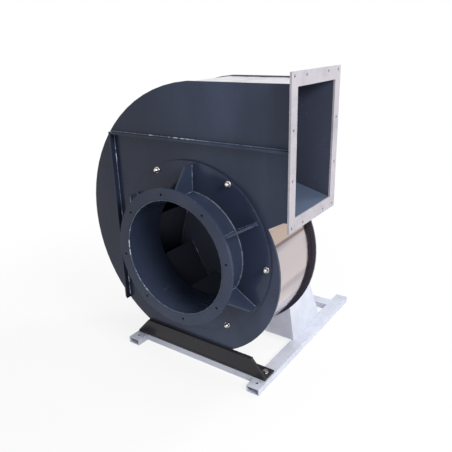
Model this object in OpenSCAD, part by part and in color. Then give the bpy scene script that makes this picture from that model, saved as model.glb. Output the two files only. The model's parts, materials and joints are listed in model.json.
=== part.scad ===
// Chemical-resistant centrifugal fan: a plastic scroll casing on a steel base, driven directly by a motor.
// The origin is the centre of the inlet face. +Y runs along the shaft into the fan,
// +X towards the outlet and +Z up.

/* [Inlet] */
// Bore of the inlet stub
inlet_bore_d = 400; // [380:2:404]
// Wall of the inlet stub
inlet_wall = 5; // [4:0.5:7]
// Width of the inlet flange outside the stub
inlet_flange_w = 35; // [32:1:45]
// Thickness of the inlet flange
inlet_flange_t = 10; // [8:1:16]
// Distance of the bolt circle from the flange's outer edge
inlet_bolt_inset = 21; // [14:0.5:22]
// Number of bolt holes in the inlet flange
inlet_bolts = 8; // [6:1:16]
// Angle of the first inlet bolt hole
inlet_bolt_angle = 8; // [0:1:45]
// Diameter of the inlet bolt holes
inlet_hole_d = 9; // [7:0.5:11]
// Length of the inlet stub in front of the casing
inlet_l = 120; // [100:1:160]
// Reach of the stub behind the casing's front face
inlet_reach = 45; // [38:1:55]

/* [Inlet cover] */
// Thickness of the round cover
cover_t = 8; // [6:0.5:12]
// Width by which the cover laps the front plate
cover_lap = 24; // [22:1:30]
// Thickness of the gasket under the cover
gasket_t = 2; // [1:0.5:4]
// Number of the cover's studs, and of the gussets between them
cover_stud_count = 6; // [4:1:8]
// Angle of the first cover stud
cover_stud_angle = -2; // [-30:1:30]
// Diameter of the cover studs
stud_d = 10; // [8:1:12]
// Thickness of a gusset
gusset_t = 8; // [5:0.5:12]
// Height of a gusset's outer edge above the cover
gusset_edge = 32; // [15:1:40]
// Distance of a gusset's outer edge from the cover's rim
gusset_inset = 10; // [6:1:20]

/* [Casing] */
// Inside width between the side plates
casing_w = 250; // [240:2:270]
// Thickness of a side plate
plate_t = 8; // [6:0.5:10]
// Thickness of the rolled plastic lining between the side plates
lining_t = 3; // [2:0.5:4]
// Thickness of the bright sheet round the lining
sheet_t = 1; // [0.5:0.25:1.5]
// Gap between the impeller and the cut-off
cutoff_gap = 16; // [14:0.5:20]
// Angle of the cut-off above the level line through the shaft
cutoff_angle = 20; // [16:0.5:22]
// Radius of the cut-off's nose
nose_r = 18; // [12:0.5:22]
// Angle of the side plates' corner beside the cut-off
corner_angle = 22.5; // [20:0.5:24]
// Growth of the scroll's radius from the cut-off to the top
scroll_growth = 256; // [245:1:265]
// Fullness of the scroll half way round
scroll_fullness = 5; // [0:0.5:8]
// Reach of the side plates past the bright sheet at the cut-off
lip_start = 16; // [13:0.5:19]
// Reach of the side plates past the bright sheet at the top
lip_end = 3; // [2:0.5:7]
// Distance of the outlet face from the shaft
outlet_x = 383; // [375:1:400]
// Height of the outlet opening
outlet_h = 378; // [366:1:384]
// Depth of the stiffening bars on the side plates
rib_depth = 20; // [14:1:26]
// Thickness of the stiffening bars
rib_t = 8; // [6:0.5:12]
// Height of the level bars' top above the shaft
level_rib_z = 376; // [350:1:390]
// Distance of the upright bars' outer face from the shaft
upright_rib_x = 355; // [340:1:365]

/* [Outlet flange] */
// Thickness of the outlet flange
outlet_flange_t = 6; // [4:0.5:10]
// Width of the flange's upright sides
outlet_side_w = 37; // [34:1:44]
// Width of the flange's level ends
outlet_end_w = 41; // [38:1:48]
// Distance of the side bolt holes from the opening
outlet_side_line = 20; // [18:0.5:24]
// Distance of the end bolt holes from the opening
outlet_end_line = 28.5; // [24:0.5:32]
// Diameter of the outlet bolt holes
outlet_hole_d = 9; // [7:0.5:11]

/* [Impeller] */
// Diameter of the impeller
impeller_d = 560; // [550:2:564]
// Gap between the impeller's rim and the opening under the inlet cover
access_gap = 4; // [3:0.5:6]
// Number of blades
blade_count = 8; // [6:1:10]
// Thickness of a blade
blade_t = 8; // [5:0.5:10]
// Angle that a blade covers round the shaft
blade_wrap = 46; // [40:1:48]
// Bow of a blade from the straight line between its edges
blade_bow = 5; // [0:1:20]
// Angle of the first blade's inner edge
blade_phase = 25; // [0:1:45]
// Gap between the stub and the impeller's collar
eye_gap = 4; // [3:0.5:6]
// Thickness of the collar
collar_t = 8; // [6:0.5:10]
// Overlap of the collar and the stub
collar_overlap = 15; // [10:1:18]
// Depth of the shroud's cone
cone_l = 31; // [24:1:40]
// Thickness of the back disc
disc_t = 10; // [8:0.5:14]
// Space between the back disc and the rear side plate
disc_gap = 28; // [26:1:34]
// Radius of the hub's boss
boss_r = 35; // [30:1:38]
// Radius of the hub's flange
hub_flange_r = 80; // [76:1:90]
// Thickness of the hub's flange
hub_flange_t = 10; // [8:0.5:12]
// Number of hub bolts
hub_bolt_count = 6; // [4:1:8]
// Height of the nose cap
cap_h = 50; // [48:1:60]

/* [Base] */
// Height of the shaft above the floor
shaft_h = 462; // [460:1:490]
// Width of a rail or cross tube
rail_w = 50; // [40:1:56]
// Height of a rail or cross tube
rail_h = 25; // [20:1:26]
// Wall of a rail or cross tube
rail_wall = 3; // [2:0.5:4]
// Width over both rails
base_w = 608; // [600:2:640]
// Shift of the base from the shaft
base_shift = -6; // [-12:1:0]
// Distance of the rails' front ends behind the inlet face
rail_front = 57; // [40:1:70]
// Length of a rail
rail_l = 771; // [750:1:820]
// Distance of an anchor hole from the rail's end
anchor_inset = 30; // [20:1:36]
// Diameter of an anchor hole
anchor_d = 11; // [9:0.5:14]
// Distance of the rear cross tube from the rails' rear ends
rear_tube_inset = 63; // [50:1:80]

/* [Front foot] */
// Thickness of the foot's upright web
web_t = 12; // [8:1:16]
// Height of the web above the foot's base
web_h = 62; // [55:1:70]
// Thickness of the foot's base
foot_t = 8; // [6:0.5:10]
// Depth of the foot's base
foot_depth = 64; // [55:1:80]
// Distance of the foot's ends from the rails' outer faces
foot_inset = 5; // [2:1:8]
// Slant of the web's ends
foot_slant = 57; // [40:1:65]
// Distance of the foot bolts from the rear edge of the foot's base
foot_bolt_inset = 28; // [20:1:35]

/* [Pedestal] */
// Thickness of the pedestal's walls
wall_t = 5; // [4:0.5:8]
// Width of a rail that the pedestal's foot leaves free
pedestal_inset = 41; // [34:1:44]
// Depth of the pedestal at its foot
pedestal_l = 234; // [220:1:245]
// Half the width of the pedestal at its top
pedestal_top_r = 155; // [145:1:156]
// Distance of the pedestal's rear top edge from the rear foot holes
pedestal_top_inset = 1; // [0:1:12]
// Backward lean of the pedestal's front wall
pedestal_lean = 99; // [85:1:105]
// Thickness of the motor's seat
seat_t = 10; // [8:1:14]
// Margin of the seat before and behind the motor's foot holes
seat_margin = 26; // [22:1:30]
// Reach of the seat past the pedestal's sides
seat_reach = 3; // [0:0.5:8]

/* [Motor] */
// Height of the shaft above the motor's feet
motor_h = 112; // [110:1:120]
// Outer radius of the motor's frame without its fins
frame_r = 96; // [92:1:98]
// Height of the cooling fins
fin_h = 12; // [8:1:12]
// Thickness of a cooling fin
fin_t = 3; // [2:0.5:4]
// Number of cooling fins
fin_count = 36; // [24:2:40]
// Radius of the motor's flange
motor_flange_r = 125; // [122:1:126]
// Thickness of the motor's flange
motor_flange_t = 14; // [12:1:18]
// Radius of the circle of the motor's flange bolts
motor_bolt_r = 107.5; // [106:0.5:110]
// Diameter of the shaft's front end
shaft_d = 28; // [26:0.5:29]
// Length of the shaft in front of the motor's flange
shaft_l = 60; // [58:1:62]
// Distance of the front foot holes from the flange face
foot_hole_y = 70; // [66:1:74]
// Distance between the foot holes along the shaft
foot_pitch = 140; // [130:1:144]
// Distance between the foot holes across the shaft
foot_span = 190; // [184:1:196]
// Reach of the finned frame past the rear foot holes
frame_reach = 34; // [32:1:46]
// Length of the fan cowl behind the frame
cowl_l = 94; // [88:1:110]
// Thickness of the steel ring between the motor and the casing
ring_t = 8; // [7:0.5:10]
// Outer radius of that steel ring
ring_r = 150; // [146:1:160]

/* [Hidden] */
$fn = 96;

// Overrun of every cut past the face where it comes out
cut = 2;
// Radial clearance of the turning shaft
running_gap = 0.05;
// Clearance between fitted pieces
fit_gap = 0.1;

// Colours
plastic_col = [0.24, 0.27, 0.33];
dark_plastic_col = [0.17, 0.18, 0.21];
impeller_col = [0.27, 0.31, 0.34];
sheet_col = [0.80, 0.77, 0.79];
frame_col = [0.80, 0.81, 0.88];
stainless_col = [0.75, 0.75, 0.76];
steel_col = [0.60, 0.61, 0.63];
motor_col = [0.32, 0.40, 0.50];
rubber_col = [0.10, 0.10, 0.11];
copper_col = [0.62, 0.38, 0.24];

// Planes across the shaft
inner_y = inlet_l + plate_t;
rear_y = inner_y + casing_w;
back_y = rear_y + plate_t;
motor_y = back_y + ring_t;
gasket_y = inlet_l - gasket_t;
cover_y = gasket_y - cover_t;

// Inlet
bore_r = inlet_bore_d / 2;
pipe_r = bore_r + inlet_wall;
inlet_flange_r = pipe_r + inlet_flange_w;
inlet_bolt_r = inlet_flange_r - inlet_bolt_inset;
pipe_end_y = inlet_l + inlet_reach;

// The opening in the front plate lets the impeller out
impeller_r = impeller_d / 2;
opening_r = impeller_r + access_gap;
cover_r = opening_r + cover_lap;
cover_stud_r = opening_r + cover_lap / 2;
cover_step = 360 / cover_stud_count;

// Fasteners: the corner radius and thickness of a nut or head, the radius and thickness of a
// washer and the radius of a cap nut's dome, as shares of the thread's diameter
hex_share = 0.92;
head_share = 0.64;
washer_share = 1.05;
washer_t_share = 0.2;
dome_share = 0.76;
dome_steps = 6;
washer_t = stud_d * washer_t_share;
nut_t = stud_d * head_share;
nut_y = cover_y - washer_t;
stud_hole_r = stud_d / 2 + fit_gap;

// The scroll's radii run over a turn that ends at the top
top_angle = -270;
scroll_steps = 58;
nose_steps = 6;
flow_start_r = impeller_r + cutoff_gap;
wall_all_t = lining_t + sheet_t;
plate_start_r = flow_start_r + wall_all_t + lip_start;
duct_x = outlet_x - outlet_flange_t;
duct_top = flow_start_r + scroll_growth;
duct_bottom = duct_top - outlet_h;
plate_end_r = duct_top + wall_all_t + lip_end;
outlet_y = inner_y + casing_w / 2;
outlet_z = duct_bottom + outlet_h / 2;

// The rolled nose of the cut-off touches the scroll, and the duct's floor touches the nose
nose_c = (flow_start_r + nose_r) * [cos(cutoff_angle), sin(cutoff_angle)];
nose_to_duct = [duct_x, duct_bottom] - nose_c;
floor_side = atan2(nose_to_duct.y, nose_to_duct.x) + acos(nose_r / norm(nose_to_duct));

// Base
floor_z = -shaft_h;
rail_top = floor_z + rail_h;
right_face = base_shift + base_w / 2;
left_face = base_shift - base_w / 2;
right_axis = right_face - rail_w / 2;
left_axis = left_face + rail_w / 2;
rail_end = rail_front + rail_l;
anchor_ys = [rail_front + anchor_inset, rail_end - anchor_inset];
foot_y = inlet_l - web_t;
foot_z = rail_top + foot_t;
foot_left = left_face + foot_inset;
foot_right = right_face - foot_inset;
foot_bolt_y = foot_y + foot_depth - foot_bolt_inset;

// Impeller
disc_end_y = rear_y - disc_gap;
disc_y = disc_end_y - disc_t;
hub_y = disc_y - hub_flange_t;
collar_r = pipe_r + eye_gap;
collar_y = pipe_end_y - collar_overlap;
cone_y = pipe_end_y + collar_t;
rim_y = cone_y + cone_l;
blade_steps = 8;
blade_in_r = collar_r + blade_t / 2;
hub_clear = 2;
hub_end_y = rear_y - hub_clear;
hub_bolt_d = 8;
hub_bolt_offset = 20;
hub_bolt_r = boss_r + hub_bolt_offset;
hub_bolt_hole_r = hub_bolt_d / 2 + fit_gap;
cap_inset = 5;
cap_r = hub_flange_r - cap_inset;
cap_wall = 6;
cap_sphere_r = (cap_r * cap_r + cap_h * cap_h) / (2 * cap_h);

// Shaft, from its front end to its rear end
shaft_r = shaft_d / 2;
shaft_y = motor_y - shaft_l;
journal_step = 1;
journal_r = shaft_r + journal_step;
end_bolt_d = 10;
end_bolt_l = 26;
end_washer_t = 4;
end_washer_r = 22;
key_w = 8;
key_h = 7;
key_sunk = 4;
key_l = 36;
key_y = shaft_y + hub_clear;

// Seal round the shaft in the rear side plate
seal_r = 28;
seal_flange_r = 40;
seal_flange_t = 3;

// Motor
frame_wall = 8;
frame_bore_r = frame_r - frame_wall;
fin_r = frame_r + fin_h;
fin_root_r = frame_r - frame_wall / 2;
spigot_r = 90;
spigot_l = 4;
spigot_wall = 12;
shield_l = 22;
frame_y = motor_y + motor_flange_t + shield_l;
frame_end_y = motor_y + foot_hole_y + foot_pitch + frame_reach;
frame_l = frame_end_y - frame_y;
bearing_r = 36;
bearing_w = 19;
housing_wall = 8;
bearing_floor = 10;
front_bearing_y = motor_y + bearing_floor;
rear_shield_t = 12;
rear_floor = 6;
rear_shield_end_y = frame_end_y + rear_shield_t;
rear_bearing_y = rear_shield_end_y - rear_floor - bearing_w;
motor_bolt_d = 12;
motor_hole_r = 7.25;
air_gap = 0.6;
core_r = 60;
core_l = 130;
core_y = frame_y + (frame_l - core_l) / 2;
winding_l = 24;
winding_inset = 4;
body_shaft_r = 20;
tail_r = 12;
shoulder_gap = 2;
cooling_gap = 10;
cooling_y = rear_shield_end_y + cooling_gap;
cooling_w = 26;
cooling_r = 84;
cooling_hub_r = 20;
cooling_t = 4;
cooling_blades = 8;
cowl_wall = 1.5;
cowl_lap = 8;
cowl_end_y = frame_end_y + cowl_l;
slot_count = 16;
slot_w = 8;
slot_in_r = 28;
slot_out_r = 92;
cowl_screw_d = 5;
cowl_screw_l = 8;
cowl_screw_h = 2.5;
cowl_screw_y = rear_shield_end_y - rear_shield_t / 2;
cowl_in_r = fin_r + fit_gap;
cowl_out_r = cowl_in_r + cowl_wall;

// Motor feet
foot_bolt_d = 10;
pad_w = 34;
pad_l = 36;
pad_t = 12;
leg_in = 66;
leg_out = 84;
leg_z = -40;
seat_z = -motor_h;
foot_hole_r = 6;

// Terminal box on a flat pad of the frame
pad_rise = 2;
pad_top_z = fin_r + pad_rise;
box_w = 104;
box_l = 112;
box_h = 46;
box_wall = 5;
box_inset = 16;
box_y = frame_y + box_inset;
lid_t = 8;
lid_screw_d = 5;
post_w = 14;
gland_r = 12;
gland_shank_r = 10;
gland_hex_r = 16;
gland_hex_t = 8;
gland_l = 18;
gland_bore_r = 6.5;
gland_z = pad_top_z + box_h / 2;

// Lifting eye
eye_inset = 34;
eye_y = frame_end_y - eye_inset;
eye_boss_r = 14;
eye_r = 16;
eye_bar_r = 5;
eye_collar_t = 8;
eye_shank_l = 12;

// Pedestal
pedestal_y = back_y;
pedestal_end_y = pedestal_y + pedestal_l;
pedestal_top_y = pedestal_y + pedestal_lean;
pedestal_top_end_y = motor_y + foot_hole_y + foot_pitch - pedestal_top_inset;
pedestal_left = left_face + pedestal_inset;
pedestal_right = right_face - pedestal_inset;
pedestal_z = seat_z - seat_t;

// Steel ring behind the casing
ring_bolt_d = 8;
ring_bolt_count = 6;
ring_bolt_inset = 15;
ring_bolt_r = ring_r - ring_bolt_inset;
ring_hole_r = ring_bolt_d / 2 + fit_gap;

// A flat shape of the XZ plane, made t deep from y
module along_y(y, t) {
    translate([0, y + t, 0]) rotate([90, 0, 0]) linear_extrude(t) children();
}

// A flat shape of the YZ plane, made t deep from x
module along_x(x, t) {
    translate([x, 0, 0]) rotate([90, 0, 90]) linear_extrude(t) children();
}

// A round bar along the shaft
module rod(y, l, r) {
    translate([0, y, 0]) rotate([-90, 0, 0]) cylinder(h = l, r = r);
}

// A round tube along the shaft
module tube(y, l, outer, inner) {
    difference() {
        rod(y, l, outer);
        rod(y - cut, l + 2 * cut, inner);
    }
}

// A hexagon along the shaft
module hex(y, l, d) {
    translate([0, y, 0]) rotate([-90, 0, 0]) cylinder(h = l, r = d * hex_share, $fn = 6);
}

// Copies round the shaft
module round_shaft(count, r, first) {
    for (i = [0 : count - 1]) rotate([0, -first - 360 * i / count, 0]) translate([r, 0, 0]) children();
}

// A profile of radius and depth, turned round the shaft
module turned() {
    rotate([-90, 0, 0]) rotate_extrude() children();
}

// Corners and arcs of the scroll's outline
function arc(c, r, from, to, steps) =
    [for (i = [0 : steps]) let (a = from + (to - from) * i / steps) c + r * [cos(a), sin(a)]];
function spiral_point(share, from, start, growth) =
    let (a = from + (top_angle - from) * share)
    (start + growth * share + scroll_fullness * sin(180 * share)) * [cos(a), sin(a)];
function spiral(from, start, growth) =
    [for (i = [0 : scroll_steps]) spiral_point(i / scroll_steps, from, start, growth)];
function reversed(list) = [for (i = [len(list) - 1 : -1 : 0]) list[i]];

// The scroll's face at a depth behind the face that the air touches
function duct_foot(depth) = [duct_x, duct_bottom - depth / sin(floor_side)];
function scroll_face(depth) = concat(
    [duct_foot(depth)],
    arc(nose_c, nose_r - depth, floor_side, cutoff_angle + 180, nose_steps),
    spiral(cutoff_angle, flow_start_r + depth, scroll_growth),
    [[duct_x, duct_top + depth]]
);

module side_outline() {
    polygon(concat(
        [duct_foot(wall_all_t)],
        spiral(corner_angle, plate_start_r, plate_end_r - plate_start_r),
        [[duct_x, plate_end_r]]
    ));
}

// A rolled wall between two depths
module rolled_wall(from, to) {
    along_y(inner_y, casing_w) polygon(concat(scroll_face(to), reversed(scroll_face(from))));
}

// Holes for the cover's studs
module cover_stud_holes(y, t) {
    round_shaft(cover_stud_count, cover_stud_r, cover_stud_angle) rod(y - cut, t + 2 * cut, stud_hole_r);
}

module inlet_flange() {
    color(plastic_col) difference() {
        tube(0, inlet_flange_t, inlet_flange_r, pipe_r);
        round_shaft(inlet_bolts, inlet_bolt_r, inlet_bolt_angle)
            rod(-cut, inlet_flange_t + 2 * cut, inlet_hole_d / 2);
    }
}

module inlet_pipe() {
    color(plastic_col) tube(0, pipe_end_y, pipe_r, bore_r);
}

module inlet_gussets() {
    out_r = cover_r - gusset_inset;
    color(plastic_col) difference() {
        round_shaft(cover_stud_count, 0, cover_stud_angle + cover_step / 2)
            translate([0, 0, -gusset_t / 2]) linear_extrude(gusset_t) polygon([
                [bore_r, cover_y],
                [bore_r, inlet_flange_t],
                [pipe_r, inlet_flange_t],
                [out_r, cover_y - gusset_edge],
                [out_r, cover_y]
            ]);
        rod(0, cover_y + cut, pipe_r);
    }
}

module inlet_cover() {
    color(plastic_col) difference() {
        tube(cover_y, cover_t, cover_r, pipe_r);
        cover_stud_holes(cover_y, cover_t);
    }
}

module cover_gasket() {
    color(rubber_col) difference() {
        tube(gasket_y, gasket_t, cover_r, opening_r);
        cover_stud_holes(gasket_y, gasket_t);
    }
}

module cover_studs() {
    color(stainless_col) round_shaft(cover_stud_count, cover_stud_r, cover_stud_angle)
        rod(nut_y - nut_t, inner_y - nut_y + nut_t, stud_d / 2);
}

module cover_washers() {
    color(stainless_col) round_shaft(cover_stud_count, cover_stud_r, cover_stud_angle)
        tube(nut_y, washer_t, stud_d * washer_share, stud_hole_r);
}

// A nut under a dome, which a quarter circle turns into
module cap_nut() {
    dome_r = stud_d * dome_share;
    difference() {
        union() {
            hex(nut_y - nut_t, nut_t, stud_d);
            translate([0, nut_y - nut_t, 0]) rotate([90, 0, 0]) rotate_extrude()
                polygon(concat([[0, 0]], arc([0, 0], dome_r, 0, 90, dome_steps)));
        }
        rod(nut_y - nut_t, nut_t + cut, stud_hole_r);
    }
}

module cover_nuts() {
    color(stainless_col) round_shaft(cover_stud_count, cover_stud_r, cover_stud_angle) cap_nut();
}

module front_plate() {
    color(plastic_col) difference() {
        along_y(inlet_l, plate_t) side_outline();
        rod(inlet_l - cut, plate_t + 2 * cut, opening_r);
        cover_stud_holes(inlet_l, plate_t);
    }
}

module scroll_lining() {
    color(plastic_col) rolled_wall(0, lining_t);
}

module scroll_sheet() {
    color(sheet_col) rolled_wall(lining_t, wall_all_t);
}

module back_plate() {
    color(dark_plastic_col) difference() {
        along_y(rear_y, plate_t) side_outline();
        rod(rear_y - cut, plate_t + 2 * cut, seal_r + fit_gap);
        round_shaft(ring_bolt_count, ring_bolt_r, 0) rod(rear_y - cut, plate_t + 2 * cut, ring_hole_r);
    }
}

// A stiffening bar that runs level on a side plate
module level_bar(y) {
    color(plastic_col) translate([-upright_rib_x, y, level_rib_z - rib_t])
        cube([upright_rib_x + duct_x, rib_depth, rib_t]);
}

// A stiffening bar that runs down from the level one to the plate's edge
module upright_bar(y) {
    color(plastic_col) along_y(y, rib_depth) intersection() {
        side_outline();
        translate([-upright_rib_x, -plate_end_r]) square([rib_t, plate_end_r + level_rib_z - rib_t]);
    }
}

module front_rib_level() {
    level_bar(inlet_l - rib_depth);
}

module front_rib_upright() {
    upright_bar(inlet_l - rib_depth);
}

module back_rib_level() {
    level_bar(back_y);
}

module back_rib_upright() {
    upright_bar(back_y);
}

// Rows of bolt holes, as shares of half the hole pattern's height or width
side_row_shares = [-1, -1 / 3, 1 / 3, 1];
end_column_shares = [-1 / 2, 1 / 2];

module outlet_flange() {
    half_w = casing_w / 2 + outlet_side_line;
    half_h = outlet_h / 2 + outlet_end_line;
    color(frame_col) along_x(duct_x, outlet_flange_t) translate([outlet_y, outlet_z]) difference() {
        square([casing_w + 2 * outlet_side_w, outlet_h + 2 * outlet_end_w], center = true);
        square([casing_w, outlet_h], center = true);
        for (side = [-1, 1]) {
            for (share = side_row_shares)
                translate([side * half_w, share * half_h]) circle(d = outlet_hole_d);
            for (share = end_column_shares)
                translate([share * half_w, side * half_h]) circle(d = outlet_hole_d);
        }
    }
}

module front_foot_web() {
    color(dark_plastic_col) along_y(foot_y, web_t) polygon([
        [foot_left, foot_z],
        [foot_right, foot_z],
        [foot_right - foot_slant, foot_z + web_h],
        [foot_left + foot_slant, foot_z + web_h]
    ]);
}

module front_foot_base() {
    color(dark_plastic_col) difference() {
        translate([foot_left, foot_y, rail_top]) cube([foot_right - foot_left, foot_depth, foot_t]);
        for (x = [left_axis, right_axis])
            translate([x, foot_bolt_y, rail_top - cut]) cylinder(h = foot_t + 2 * cut, r = stud_hole_r);
    }
}

module foot_bolts() {
    shank = foot_t + rail_wall;
    color(stainless_col) for (x = [left_axis, right_axis]) translate([x, foot_bolt_y, foot_z]) {
        cylinder(h = washer_t, r = stud_d * washer_share);
        translate([0, 0, washer_t]) cylinder(h = nut_t, r = stud_d * hex_share, $fn = 6);
        translate([0, 0, -shank]) cylinder(h = shank + washer_t, r = stud_d / 2);
    }
}

// The section of a rail or cross tube
module tube_section() {
    difference() {
        square([rail_w, rail_h]);
        translate([rail_wall, rail_wall]) square([rail_w - 2 * rail_wall, rail_h - 2 * rail_wall]);
    }
}

module rail(x) {
    color(frame_col) translate([x, 0, 0]) difference() {
        translate([-rail_w / 2, 0, floor_z]) along_y(rail_front, rail_l) tube_section();
        for (y = anchor_ys) translate([0, y, floor_z - cut]) cylinder(h = rail_h + 2 * cut, r = anchor_d / 2);
        translate([0, foot_bolt_y, rail_top - rail_wall - cut])
            cylinder(h = rail_wall + 2 * cut, r = stud_hole_r);
    }
}

module cross_tube(y) {
    color(frame_col) translate([0, y, floor_z])
        along_x(left_face + rail_w, base_w - 2 * rail_w) tube_section();
}

module left_rail() {
    rail(left_axis);
}

module right_rail() {
    rail(right_axis);
}

module front_cross_tube() {
    cross_tube(foot_y);
}

module rear_cross_tube() {
    cross_tube(rail_end - rear_tube_inset - rail_w);
}

// The part of the pedestal between two slanted lines of its front view and two of its side view
module pedestal_part(left, right, front, rear) {
    intersection() {
        along_y(pedestal_y, pedestal_l) polygon([
            [left[0], rail_top],
            [right[0], rail_top],
            [right[1], pedestal_z],
            [left[1], pedestal_z]
        ]);
        along_x(pedestal_left, pedestal_right - pedestal_left) polygon([
            [front[0], rail_top],
            [rear[0], rail_top],
            [rear[1], pedestal_z],
            [front[1], pedestal_z]
        ]);
    }
}

// The pedestal's slanted lines, each as its places at the foot and at the top
left_line = [pedestal_left, -pedestal_top_r];
right_line = [pedestal_right, pedestal_top_r];
front_line = [pedestal_y, pedestal_top_y];
rear_line = [pedestal_end_y, pedestal_top_end_y];
wall = [wall_t, wall_t];

module pedestal_front_wall() {
    color(frame_col) pedestal_part(left_line, right_line, front_line, front_line + wall);
}

module pedestal_rear_wall() {
    color(frame_col) pedestal_part(left_line, right_line, rear_line - wall, rear_line);
}

module pedestal_left_wall() {
    color(frame_col) pedestal_part(left_line, left_line + wall, front_line + wall, rear_line - wall);
}

module pedestal_right_wall() {
    color(frame_col) pedestal_part(right_line - wall, right_line, front_line + wall, rear_line - wall);
}

// Copies at the motor's four foot holes
module at_foot_holes(z) {
    for (x = [-foot_span / 2, foot_span / 2])
        for (y = [foot_hole_y, foot_hole_y + foot_pitch])
            translate([x, motor_y + y, z]) children();
}

module motor_seat() {
    half_w = pedestal_top_r + seat_reach;
    seat_l = foot_pitch + 2 * seat_margin;
    color(frame_col) difference() {
        translate([-half_w, motor_y + foot_hole_y - seat_margin, pedestal_z])
            cube([2 * half_w, seat_l, seat_t]);
        at_foot_holes(pedestal_z - cut) cylinder(h = seat_t + 2 * cut, r = foot_bolt_d / 2 + fit_gap);
    }
}

module motor_foot_bolts() {
    shank = pad_t + seat_t;
    color(steel_col) at_foot_holes(seat_z + pad_t) {
        cylinder(h = foot_bolt_d * head_share, r = foot_bolt_d * hex_share, $fn = 6);
        translate([0, 0, -shank]) cylinder(h = shank, r = foot_bolt_d / 2);
    }
}

module back_ring() {
    color(steel_col) difference() {
        tube(back_y, ring_t, ring_r, spigot_r + fit_gap);
        round_shaft(ring_bolt_count, ring_bolt_r, 0) rod(back_y - cut, ring_t + 2 * cut, ring_hole_r);
        round_shaft(4, motor_bolt_r, 45) rod(back_y - cut, ring_t + 2 * cut, motor_bolt_d / 2 + fit_gap);
    }
}

module ring_bolts() {
    thick = ring_bolt_d * head_share;
    color(stainless_col) round_shaft(ring_bolt_count, ring_bolt_r, 0) {
        hex(motor_y, thick, ring_bolt_d);
        rod(rear_y - thick, motor_y - rear_y + thick, ring_bolt_d / 2);
        hex(rear_y - thick, thick, ring_bolt_d);
    }
}

module shaft_seal() {
    color(rubber_col) difference() {
        union() {
            rod(rear_y, plate_t + seal_flange_t, seal_r);
            rod(back_y, seal_flange_t, seal_flange_r);
        }
        rod(rear_y - cut, plate_t + seal_flange_t + 2 * cut, shaft_r + running_gap);
    }
}

// A motor foot on one side, seen along the shaft
module motor_foot_section() {
    polygon([
        [leg_in, seat_z],
        [foot_span / 2 + pad_w / 2, seat_z],
        [foot_span / 2 + pad_w / 2, seat_z + pad_t],
        [leg_out, seat_z + pad_t],
        [leg_out, leg_z],
        [leg_in, leg_z]
    ]);
}

// The section of the motor's frame with its fins
module frame_section() {
    difference() {
        union() {
            circle(r = frame_r);
            for (i = [0 : fin_count - 1]) rotate(360 * i / fin_count) translate([fin_root_r, -fin_t / 2])
                square([fin_r - fin_root_r, fin_t]);
        }
        circle(r = frame_bore_r);
    }
}

module motor_frame() {
    color(motor_col) difference() {
        union() {
            along_y(frame_y, frame_l) frame_section();
            for (side = [0, 1], y = [foot_hole_y, foot_hole_y + foot_pitch])
                mirror([side, 0, 0]) along_y(motor_y + y - pad_l / 2, pad_l) motor_foot_section();
            translate([-box_w / 2, box_y, 0]) cube([box_w, box_l, pad_top_z]);
            translate([0, eye_y, 0]) cylinder(h = pad_top_z, r = eye_boss_r);
        }
        rod(frame_y - cut, frame_l + 2 * cut, frame_bore_r);
        at_foot_holes(seat_z - cut) cylinder(h = pad_t + 2 * cut, r = foot_hole_r);
        translate([0, eye_y, pad_top_z - eye_shank_l])
            cylinder(h = eye_shank_l + cut, r = foot_bolt_d / 2 + fit_gap);
    }
}

module motor_flange_shield() {
    color(motor_col) {
        difference() {
            rod(motor_y, motor_flange_t, motor_flange_r);
            rod(motor_y - cut, motor_flange_t + 2 * cut, journal_r + running_gap);
            rod(front_bearing_y, motor_flange_t, bearing_r);
            round_shaft(4, motor_bolt_r, 45) rod(motor_y - cut, motor_flange_t + 2 * cut, motor_hole_r);
        }
        tube(motor_y - spigot_l, spigot_l, spigot_r, spigot_r - spigot_wall);
        tube(motor_y + motor_flange_t, shield_l, frame_r, frame_bore_r);
        tube(
            motor_y + motor_flange_t, bearing_floor + bearing_w - motor_flange_t,
            bearing_r + housing_wall, bearing_r
        );
    }
}

module motor_rear_shield() {
    color(motor_col) difference() {
        union() {
            rod(frame_end_y, rear_shield_t, fin_r);
            rod(rear_bearing_y, frame_end_y - rear_bearing_y, bearing_r + housing_wall);
        }
        rod(rear_bearing_y - cut, bearing_w + cut, bearing_r);
        rod(rear_bearing_y, rear_shield_end_y - rear_bearing_y + cut, tail_r + running_gap);
        cowl_screw_holes();
    }
}

// Four places round the shaft for the cowl's screws, along each one's radius
module at_cowl_screws(r) {
    translate([0, cowl_screw_y, 0]) round_shaft(4, r, 45) rotate([0, 90, 0]) children();
}

module cowl_screw_holes() {
    at_cowl_screws(fin_r - cowl_screw_l)
        cylinder(h = cowl_screw_l + cowl_wall + 2 * cut, r = cowl_screw_d / 2 + fit_gap);
}

module motor_fan_cowl() {
    color(motor_col) difference() {
        union() {
            tube(frame_end_y - cowl_lap, cowl_l + cowl_lap, cowl_out_r, cowl_in_r);
            difference() {
                rod(cowl_end_y - cowl_wall, cowl_wall, cowl_in_r);
                round_shaft(slot_count, slot_in_r, 0)
                    translate([0, cowl_end_y - cowl_wall - cut, -slot_w / 2])
                    cube([slot_out_r - slot_in_r, cowl_wall + 2 * cut, slot_w]);
            }
        }
        cowl_screw_holes();
    }
}

module cowl_screws() {
    color(steel_col) {
        at_cowl_screws(fin_r - cowl_screw_l)
            cylinder(h = cowl_out_r - fin_r + cowl_screw_l, r = cowl_screw_d / 2);
        at_cowl_screws(cowl_out_r) cylinder(h = cowl_screw_h, r = cowl_screw_d * hex_share);
    }
}

module stator_core() {
    color(steel_col) tube(core_y, core_l, frame_bore_r, core_r + air_gap);
}

module stator_windings() {
    color(copper_col) for (y = [core_y - winding_l, core_y + core_l])
        tube(y, winding_l, frame_bore_r - winding_inset, core_r + air_gap + winding_inset);
}

module bearing(y) {
    color(steel_col) tube(y, bearing_w, bearing_r, journal_r + running_gap);
}

module front_bearing() {
    bearing(front_bearing_y);
}

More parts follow.
